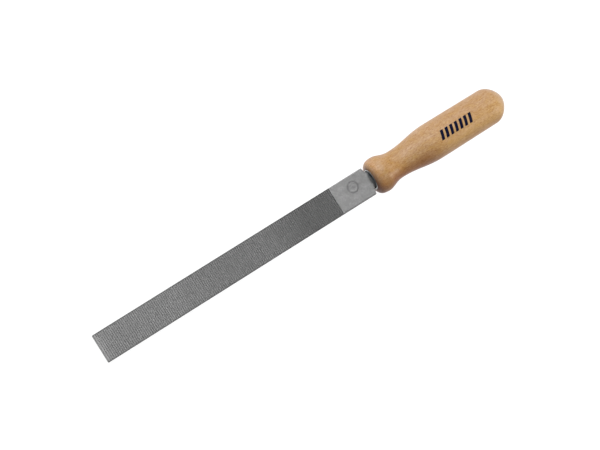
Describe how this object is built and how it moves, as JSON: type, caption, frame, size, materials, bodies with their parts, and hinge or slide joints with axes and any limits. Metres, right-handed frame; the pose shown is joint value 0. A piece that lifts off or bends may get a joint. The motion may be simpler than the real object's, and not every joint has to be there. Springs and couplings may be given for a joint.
{
  "type": "flat file",
  "caption": "Flat hand file for metalwork: a straight-cut steel blade with a bare heel, its tang driven into a turned beech handle with a steel ferrule in the nose.",
  "frame": {"origin": "centre of the blade's flat end face, at the end away from the handle", "axes": "+X along the file from the end face to the handle, +Z out of one broad face, +Y across the blade"},
  "size_m": [0.3857, 0.0312, 0.0312],
  "materials": {
    "blade_steel": "hardened file steel, dull grey where it is cut and lighter on the bare ground heel",
    "beech": "clear lacquered beech, fine short flecks, soft sheen",
    "ferrule_steel": "plain drawn steel, slightly dull"
  },
  "bodies": {
    "root": {"file_blade": "blade_steel", "handle": "beech", "ferrule": "ferrule_steel"}
  },
  "joints": []
}
